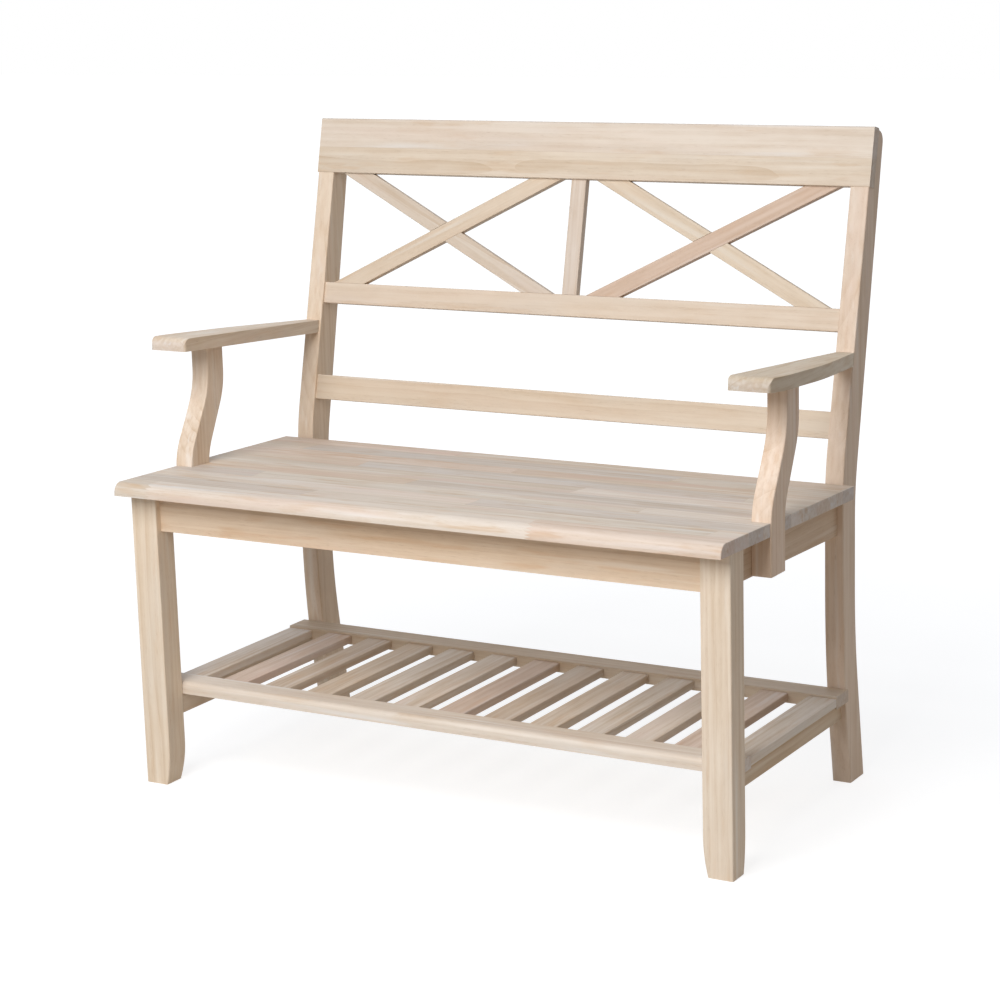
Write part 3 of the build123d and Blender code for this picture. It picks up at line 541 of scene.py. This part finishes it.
screws = {"nodes": sorted(name for name in pieces if name.endswith("_screws")),
          "sizes": {"Sides": 24, "Shank": 0.0021, "Head": 0.0040, "Head Depth": 0.0026, "Rim": 0.0003,
                    "Recess Span": 0.0046, "Recess Width": 0.0009, "Recess Depth": 0.0018},
          "pointRadii": 3.0, "tip": 0.0001,             # point length in shank radii, radius of its tip
          "mergeReach": 1e-6, "topReach": 1e-5,         # metres between points that are one, or on one face
          "cloud": ((700.0, 700.0, 700.0), 4.0, 0.3, 0.7), "roughness": (0.2, 0.28),
          "bright": (0.60, 0.60, 0.58, 1.0), "dull": (0.44, 0.43, 0.39, 1.0)}


def makeScrewTree():
    tree, given, out = newGroup(
        "screwSet", "GeometryNodeTree",
        [("Geometry", "Geometry", None), ("Length", "Float", 0.032), ("Shank", "Float", 0.002),
         ("Head", "Float", 0.004), ("Head Depth", "Float", 0.0026), ("Rim", "Float", 0.0003),
         ("Recess Span", "Float", 0.0046), ("Recess Width", "Float", 0.0009),
         ("Recess Depth", "Float", 0.0018), ("Sides", "Int", 24), ("Steel", "Material", None)],
        [("Geometry", "Geometry")])

    def lift(mesh, height):
        offset = joinVector(tree, 0.0, 0.0, height)
        return addNode(tree, "GeometryNodeTransform", {"Geometry": mesh, "Translation": offset}).outputs[0]

    def rod(radius, depth, height):
        # its middle is at this height
        inputs = {"Vertices": given["Sides"], "Radius": radius, "Depth": depth}
        return lift(addNode(tree, "GeometryNodeMeshCylinder", inputs).outputs["Mesh"], height)

    def cone(top, bottom, depth, height):
        # its bottom is at this height
        inputs = {"Vertices": given["Sides"], "Radius Top": top, "Radius Bottom": bottom, "Depth": depth}
        return lift(addNode(tree, "GeometryNodeMeshCone", inputs).outputs["Mesh"], height)

    # the head's top face is at zero, the point below it
    belowRim = calc(tree, "MULTIPLY", given["Rim"], -1.0)
    belowHead = calc(tree, "SUBTRACT", belowRim, given["Head Depth"])
    pointLength = calc(tree, "MULTIPLY", given["Shank"], screws["pointRadii"])
    straight = calc(tree, "SUBTRACT", calc(tree, "ADD", given["Length"], belowHead), pointLength)
    shankMiddle = calc(tree, "SUBTRACT", belowHead, calc(tree, "MULTIPLY", straight, 0.5))
    body = addNode(tree, "GeometryNodeMeshBoolean", operation="UNION")
    tipHeight = calc(tree, "MULTIPLY", given["Length"], -1.0)
    rimMiddle = calc(tree, "MULTIPLY", given["Rim"], -0.5)
    for part in (cone(given["Shank"], screws["tip"], pointLength, tipHeight),
                 rod(given["Shank"], straight, shankMiddle),
                 cone(given["Head"], given["Shank"], given["Head Depth"], belowHead),
                 rod(given["Head"], given["Rim"], rimMiddle)):
        tree.links.new(part, body.inputs["Mesh 2"])

    # two slots cross in the head; half of each cutter stands above it
    cutterTall = calc(tree, "MULTIPLY", given["Recess Depth"], 2.0)
    slots = addNode(tree, "GeometryNodeMeshBoolean", operation="DIFFERENCE")
    tree.links.new(body.outputs["Mesh"], slots.inputs["Mesh 1"])
    for size in (joinVector(tree, given["Recess Span"], given["Recess Width"], cutterTall),
                 joinVector(tree, given["Recess Width"], given["Recess Span"], cutterTall)):
        slot = addNode(tree, "GeometryNodeMeshCube", {"Size": size}).outputs["Mesh"]
        tree.links.new(slot, slots.inputs["Mesh 2"])

    aim = addNode(tree, "GeometryNodeInputNamedAttribute", {"Name": "aim"}, data_type="FLOAT_VECTOR")
    turn = addNode(tree, "FunctionNodeAlignRotationToVector", {"Vector": aim.outputs[0]}, axis="Z")
    finished = placeParts(tree, given["Geometry"], slots.outputs["Mesh"], given["Steel"],
                          {"Rotation": turn.outputs[0]})
    tree.links.new(finished, out["Geometry"])
    return tree


def makeScrewSteel():
    material, tree, shader = newMaterial("zinc_screw")
    spot = addNode(tree, "ShaderNodeTexCoord").outputs["Object"]
    cloud = patches(tree, spot, screws["cloud"])
    tree.links.new(mixColor(tree, cloud, screws["bright"], screws["dull"]), shader.inputs["Base Color"])
    tree.links.new(calc(tree, "MULTIPLY_ADD", cloud, *screws["roughness"]), shader.inputs["Roughness"])
    shader.inputs["Metallic"].default_value = 1.0
    return material


def screwSpots(node):
    # head middles, directions and lengths of the screws in one node, found from a merged copy of its mesh
    copy = bmesh.new()
    copy.from_mesh(node.data)
    bmesh.ops.remove_doubles(copy, verts=copy.verts[:], dist=screws["mergeReach"])
    left = set(copy.verts)
    spots = []
    for start in copy.verts:          # in the order of the mesh, so that every run gives the same one
        if start not in left:
            continue
        left.remove(start)
        island = [start]
        for vert in island:
            for edge in vert.link_edges:
                other = edge.other_vert(vert)
                if other in left:
                    left.remove(other)
                    island.append(other)
        points = np.array([vert.co[:] for vert in island])
        middle = (points.min(axis=0) + points.max(axis=0)) / 2
        axis = np.linalg.svd(points - points.mean(axis=0))[2][0]
        along = (points - middle) @ axis
        away = np.linalg.norm(points - middle - np.outer(along, axis), axis=1)
        if along[away.argmax()] < 0:
            axis, along = -axis, -along
        head = points[along > along.max() - screws["topReach"]].mean(axis=0)
        spots.append((head, axis, along.max() - along.min()))
    copy.free()
    return spots


def makeScrews():
    tree = makeScrewTree()
    steel = makeScrewSteel()
    for name in screws["nodes"]:
        spots = screwSpots(pieces[name])
        heads, axes, lengths = zip(*spots)
        seeds = bpy.data.meshes.new(name + "_spots")
        seeds.from_pydata([tuple(head) for head in heads], [], [])
        aims = seeds.attributes.new("aim", "FLOAT_VECTOR", "POINT")
        for index, axis in enumerate(axes):
            aims.data[index].vector = tuple(axis)
        group = growPiece(name + "_crosshead", seeds, tree,
                          {**screws["sizes"], "Length": float(lengths[0]), "Steel": steel})
        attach(group, "root")
        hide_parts(name)
        print(name, len(spots), "screws")


makeScrews()


# Floor, background, lamp and camera

studio = {
    "zenith": (0.275, 0.345, 0.46, 1.0), "horizon": (0.33, 0.338, 0.345, 1.0), "zenithReach": (0.0, 0.9),
    "rightSide": (0.26, 0.225, 0.185, 1.0), "rightReach": (0.1, 0.8),
    "rearSide": (0.80, 0.775, 0.735, 1.0), "rearReach": (0.2, 0.9),
    "keyPower": 71.0, "keyColor": (1.0, 0.985, 0.965), "keySize": 1.8, "keySpot": (-0.05, -2.3, 2.12),
    "keyAim": (0.0, 0.0, 0.45),
    "floorSize": 30.0, "floorNear": (0.58, 0.52, 0.45, 1.0), "floorFar": (0.22, 0.205, 0.19, 1.0),
    "farReach": (0.7, 2.4), "shadowShare": (0.35, 0.35, 0.35, 1.0), "nearGlow": 0.79, "farGlow": 0.94,
}


def mixSeen(tree, hidden, seen):
    # one shader for the light that falls on the bench, another for what is seen, also in a reflection
    rays = addNode(tree, "ShaderNodeLightPath").outputs
    direct = calc(tree, "ADD", rays["Is Camera Ray"], rays["Is Glossy Ray"], clamp=True)
    direct = calc(tree, "ADD", direct, rays["Is Transmission Ray"], clamp=True)
    return addNode(tree, "ShaderNodeMixShader", {0: direct, 1: hidden, 2: seen}).outputs[0]


def makeFloor():
    # the floor lights the bench as a pale one, and is seen as white with a faint shadow
    bpy.ops.mesh.primitive_plane_add(size=studio["floorSize"])
    floor = bpy.context.object
    floor.name = "studio_floor"
    material, tree, shader = newMaterial("floor_paint")
    spot = addNode(tree, "ShaderNodeTexCoord").outputs["Object"]
    far = remap(tree, calcVector(tree, "LENGTH", spot, output="Value"), *studio["farReach"])
    paint = mixColor(tree, far, studio["floorNear"], studio["floorFar"])
    tree.links.new(paint, shader.inputs["Base Color"])
    shader.inputs["Roughness"].default_value = 1.0
    shader.inputs["Specular IOR Level"].default_value = 0.0
    soft = addNode(tree, "ShaderNodeBsdfDiffuse", {"Color": studio["shadowShare"]}).outputs[0]
    strength = calc(tree, "MULTIPLY_ADD", far, studio["farGlow"] - studio["nearGlow"], studio["nearGlow"])
    glow = addNode(tree, "ShaderNodeEmission", {"Color": plainWhite, "Strength": strength}).outputs[0]
    bright = addNode(tree, "ShaderNodeAddShader", {0: soft, 1: glow}).outputs[0]
    both = mixSeen(tree, shader.outputs[0], bright)
    tree.links.new(both, tree.nodes["Material Output"].inputs["Surface"])
    dress(floor, material)


def makeWorld():
    world = bpy.data.worlds.new("studio")
    bpy.context.scene.world = world
    world.use_nodes = True
    tree = world.node_tree
    tree.nodes.clear()
    aim = addNode(tree, "ShaderNodeTexCoord").outputs["Generated"]
    toRight, toRear, toTop = splitVector(tree, aim)
    glow = mixColor(tree, remap(tree, toTop, *studio["zenithReach"]), studio["horizon"], studio["zenith"])
    glow = mixColor(tree, remap(tree, toRight, *studio["rightReach"]), glow, studio["rightSide"])
    glow = mixColor(tree, remap(tree, toRear, *studio["rearReach"]), glow, studio["rearSide"])
    sky, backdrop = (addNode(tree, "ShaderNodeBackground", {"Color": color, "Strength": 1.0}).outputs[0]
                     for color in (glow, plainWhite))
    addNode(tree, "ShaderNodeOutputWorld", {"Surface": mixSeen(tree, sky, backdrop)})


def makeKeyLamp():
    lamp = bpy.data.lights.new("key_lamp", "AREA")
    lamp.energy = studio["keyPower"]
    lamp.color = studio["keyColor"]
    lamp.size = studio["keySize"]
    holder = bpy.data.objects.new("key_lamp", lamp)
    bpy.context.scene.collection.objects.link(holder)
    holder.location = studio["keySpot"]
    away = Vector(studio["keySpot"]) - Vector(studio["keyAim"])
    holder.rotation_euler = away.to_track_quat("Z", "Y").to_euler()
    holder.visible_camera = False


view = {"spot": (1.8387, -3.16335, 1.2253), "azimuth": 30.34, "elevation": 12.57, "roll": -1.63,
        "sensor": 36.0, "lens": 94.10, "shiftX": 0.00215, "shiftY": 0.00304, "clipEnd": 100.0}


def makeCamera():
    azimuth, elevation, roll = (math.radians(view[key]) for key in ("azimuth", "elevation", "roll"))
    level = Vector((math.cos(azimuth), math.sin(azimuth), 0))
    back = Vector((math.sin(azimuth) * math.cos(elevation), -math.cos(azimuth) * math.cos(elevation),
                   math.sin(elevation)))
    up = back.cross(level)
    right = level * math.cos(roll) + up * math.sin(roll)
    upTurned = up * math.cos(roll) - level * math.sin(roll)
    data = bpy.data.cameras.new("photo_camera")
    data.sensor_width = view["sensor"]
    data.lens = view["lens"]
    data.shift_x = view["shiftX"]
    data.shift_y = view["shiftY"]
    data.clip_end = view["clipEnd"]
    camera = bpy.data.objects.new("photo_camera", data)
    bpy.context.scene.collection.objects.link(camera)
    turned = Matrix((right, upTurned, back)).transposed().to_4x4()
    camera.matrix_world = Matrix.Translation(view["spot"]) @ turned
    bpy.context.scene.camera = camera


makeFloor()
makeWorld()
makeKeyLamp()
makeCamera()
bpy.context.scene.view_settings.view_transform = "Standard"
print("studio ready")

bpy.context.view_layer.update()
